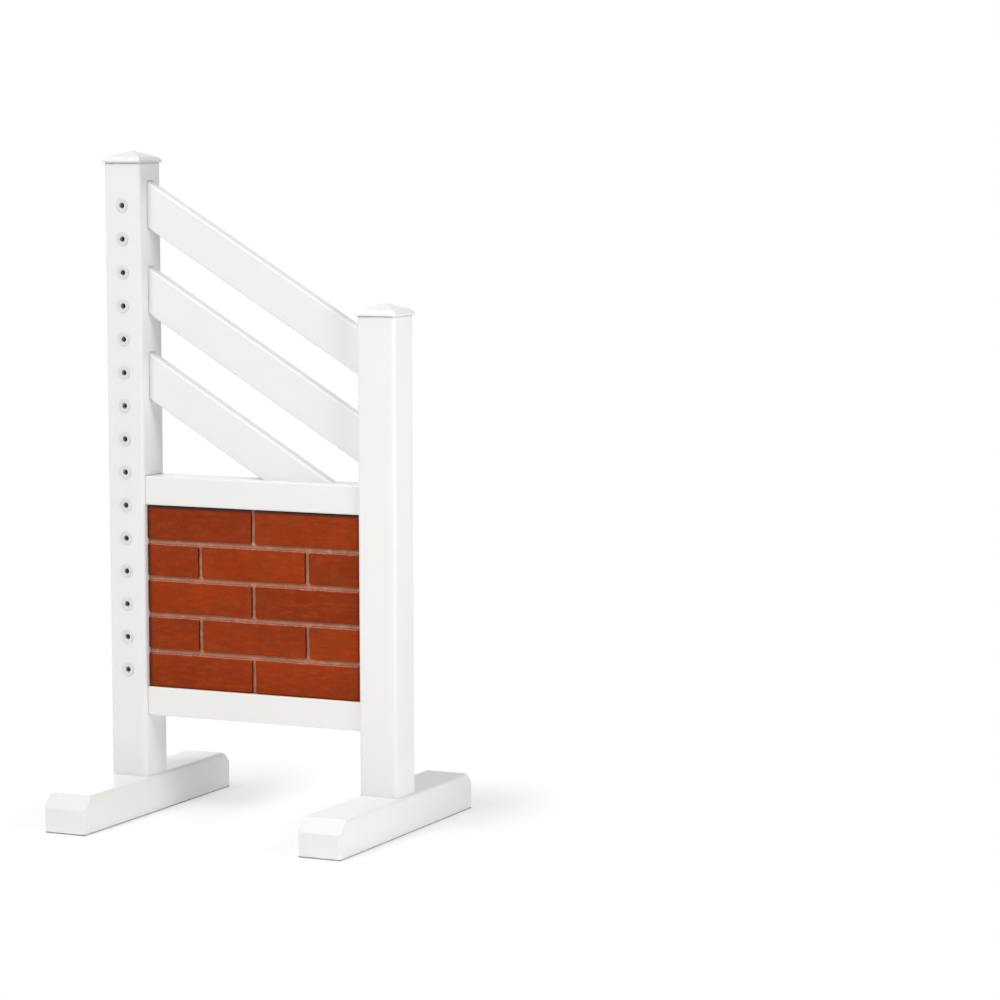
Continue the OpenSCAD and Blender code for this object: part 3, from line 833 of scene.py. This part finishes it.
def add_sky(scene, studio):
    """Even white light from all round, and plain white where the camera or a reflection sees it."""
    world = bpy.data.worlds.new("studio_world")
    scene.world = world
    world.use_nodes = True
    tree = world.node_tree
    background = tree.nodes["Background"]
    background.inputs["Color"].default_value = WHITE
    path = put(tree, "ShaderNodeLightPath").outputs
    seen = calc(tree, "MAXIMUM", calc(tree, "MAXIMUM", path["Is Camera Ray"], path["Is Glossy Ray"]),
                path["Is Transmission Ray"])
    tree.links.new(remap(tree, seen, 0, 1, studio.sky, 1), background.inputs["Strength"])


def add_floor(scene, studio):
    """A round paper floor."""
    bm = bmesh.new()
    bmesh.ops.create_circle(bm, cap_ends=True, cap_tris=False, segments=96, radius=FLOOR_RADIUS)
    mesh = bpy.data.meshes.new("studio_floor")
    bm.to_mesh(mesh)
    bm.free()
    floor = bpy.data.objects.new("studio_floor", mesh)
    scene.collection.objects.link(floor)
    mesh.materials.append(floor_finish(studio))


# ---- operators ----


class WING_OT_posts(bpy.types.Operator):
    """Finish both posts in drawn white plastic"""

    bl_idname = "wing.posts"
    bl_label = "Posts"

    def execute(self, context):
        plastic = context.scene.wing_plastic
        shade_from, shade_full, strength = CAP_SHADOW_LINE
        # each post gets a line of painted shadow under its cap's lip
        for name in ("tall_post", "short_post"):
            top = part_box(name)[1].z
            material = white_plastic(f"white_plastic_{name}", plastic, draw=DRAWN_Z,
                                     painted_shade=(top - shade_from, top - shade_full, strength))
            dress(material, name)
        return {"FINISHED"}


class WING_OT_slats(bpy.types.Operator):
    """Finish the three sloping slats"""

    bl_idname = "wing.slats"
    bl_label = "Slats"

    def execute(self, context):
        plastic = context.scene.wing_plastic
        dress(white_plastic("white_plastic_sloping", plastic, draw=DRAWN_X, turn=(0, -plastic.slope, 0)),
              "upper_slat", "middle_slat", "lower_slat")
        return {"FINISHED"}


class WING_OT_rails(bpy.types.Operator):
    """Finish the two level rails and the battens behind the bricks"""

    bl_idname = "wing.rails"
    bl_label = "Rails"

    def execute(self, context):
        plastic = context.scene.wing_plastic
        # a quarter of the usual painted shade in corners
        dress(white_plastic("white_plastic_level", plastic, draw=DRAWN_X, corner_shade=0.25),
              "top_rail", "bottom_rail", "panel_battens")
        return {"FINISHED"}


class WING_OT_caps(bpy.types.Operator):
    """Finish the two post caps in moulded white plastic, whose two whites differ only as painted light and shade"""

    bl_idname = "wing.caps"
    bl_label = "Caps"

    def execute(self, context):
        plastic = context.scene.wing_plastic
        # painted light and shade: the two caps' whites differ
        for which, colour in (("tall", plastic.tall_cap_shaded), ("short", plastic.short_cap_lit)):
            dress(white_plastic(f"white_plastic_{which}_cap", plastic, colour=colour, peel=1.0),
                  f"{which}_post_cap")
        return {"FINISHED"}


class WING_OT_feet(bpy.types.Operator):
    """Finish the two feet in moulded white plastic"""

    bl_idname = "wing.feet"
    bl_label = "Feet"

    def execute(self, context):
        plastic = context.scene.wing_plastic
        # the feet get a line of painted contact shadow where they meet the ground
        dress(white_plastic("white_plastic_foot", plastic, draw=DRAWN_Y, peel=0.6, painted_shade=GROUND_SHADOW_LINE),
              "tall_post_foot", "short_post_foot")
        return {"FINISHED"}


class WING_OT_sleeves(bpy.types.Operator):
    """Finish the liners of the pin holes and their collars"""

    bl_idname = "wing.sleeves"
    bl_label = "Pin hole sleeves"

    def execute(self, context):
        dress(sleeve_plastic(context.scene.wing_plastic), "pin_sleeves", "sleeve_collars")
        return {"FINISHED"}


class WING_OT_bricks(bpy.types.Operator):
    """Model the brick relief on both sides of the filler"""

    bl_idname = "wing.bricks"
    bl_label = "Brick relief"

    def execute(self, context):
        settings = context.scene.wing_bricks
        material = brick_finish(settings)
        for side, name in ((-1, "front"), (1, "back")):
            bm = bmesh.new()
            layer = bm.faces.layers.float.new("brick_tone")
            chance = random.Random(TONE_SEED + side)
            for k, rectangle in enumerate(brick_rectangles(settings)):
                seed = 17 * k + 5 + 300 * side  # another one for each brick
                add_brick(bm, layer, rectangle, side, chance.random(), seed, settings)
            mesh_piece(f"{name}_brick_relief", bm, material, "brick_face", f"{name}_bricks")
        return {"FINISHED"}


class WING_OT_mortar(bpy.types.Operator):
    """Model the mortar sheets that the bricks stand out of"""

    bl_idname = "wing.mortar"
    bl_label = "Mortar"

    def execute(self, context):
        settings = context.scene.wing_bricks
        material = mortar_finish(settings)
        rectangles = brick_rectangles(settings)
        for side, name in ((-1, "front"), (1, "back")):
            bm = mortar_mesh(side, rectangles, settings)
            mesh_piece(f"{name}_mortar_sheet", bm, material, "mortar", f"{name}_mortar_board")
        return {"FINISHED"}


class WING_OT_fixings(bpy.types.Operator):
    """Finish the spigots, bolts, washers and nuts that hold the feet"""

    bl_idname = "wing.fixings"
    bl_label = "Fixings"

    def execute(self, context):
        dress(core_finish(), "tall_post_spigot", "short_post_spigot")
        dress(zinc_finish(), "foot_bolts", "bolt_washers", "bolt_nuts")
        return {"FINISHED"}


class WING_OT_stage(bpy.types.Operator):
    """Set up the camera, the lamps, the even white light and the floor"""

    bl_idname = "wing.stage"
    bl_label = "Studio"

    def execute(self, context):
        scene = context.scene
        studio = scene.wing_studio
        scene.view_settings.view_transform = "Standard"
        add_camera(scene, studio)
        add_lamp(scene, "key_lamp", (-1.2, -3.6, 4.5), (0, 0, 0.7), (2.4, 2.4), studio.key, (1.0, 0.998, 0.99))
        add_lamp(scene, "top_lamp", (-1.0, -0.3, 4.5), (0, 0, 0.6), (2.6, 2.6), studio.top)
        add_lamp(scene, "side_lamp", (1.7, -0.45, 1.1), (0, 0, 0.6), (0.6, 0.6), studio.side, (1.0, 0.985, 0.965))
        add_lamp(scene, "back_lamp", (-3.2, 4.0, 0.8), (0, 0, 0.6), (1.6, 1.4), studio.back)
        add_sky(scene, studio)
        add_floor(scene, studio)
        return {"FINISHED"}


STEPS = (WING_OT_posts, WING_OT_slats, WING_OT_rails, WING_OT_caps, WING_OT_feet, WING_OT_sleeves,
         WING_OT_mortar, WING_OT_bricks, WING_OT_fixings, WING_OT_stage)


class WING_PT_panel(bpy.types.Panel):
    """Lists the settings and the steps that dress the wing"""

    bl_idname = "WING_PT_panel"
    bl_label = "Show Jump Wing"
    bl_space_type = "VIEW_3D"
    bl_region_type = "UI"
    bl_category = "Wing"

    def draw(self, context):
        for settings in (context.scene.wing_plastic, context.scene.wing_bricks, context.scene.wing_studio):
            box = self.layout.box()
            for name in settings.__annotations__:
                box.prop(settings, name)
        for step in STEPS:
            self.layout.operator(step.bl_idname)


CLASSES = (PlasticSettings, BrickSettings, StudioSettings, *STEPS, WING_PT_panel)


def register():
    for item in CLASSES:
        bpy.utils.register_class(item)
    bpy.types.Scene.wing_plastic = PointerProperty(type=PlasticSettings)
    bpy.types.Scene.wing_bricks = PointerProperty(type=BrickSettings)
    bpy.types.Scene.wing_studio = PointerProperty(type=StudioSettings)


def unregister():
    del bpy.types.Scene.wing_plastic, bpy.types.Scene.wing_bricks, bpy.types.Scene.wing_studio
    for item in reversed(CLASSES):
        bpy.utils.unregister_class(item)


def main():
    register()
    bpy.ops.wing.posts()
    bpy.ops.wing.slats()
    bpy.ops.wing.rails()
    bpy.ops.wing.caps()
    bpy.ops.wing.feet()
    bpy.ops.wing.sleeves()
    bpy.ops.wing.mortar()
    bpy.ops.wing.bricks()
    bpy.ops.wing.fixings()
    bpy.ops.wing.stage()


if __name__ == "__main__":
    main()
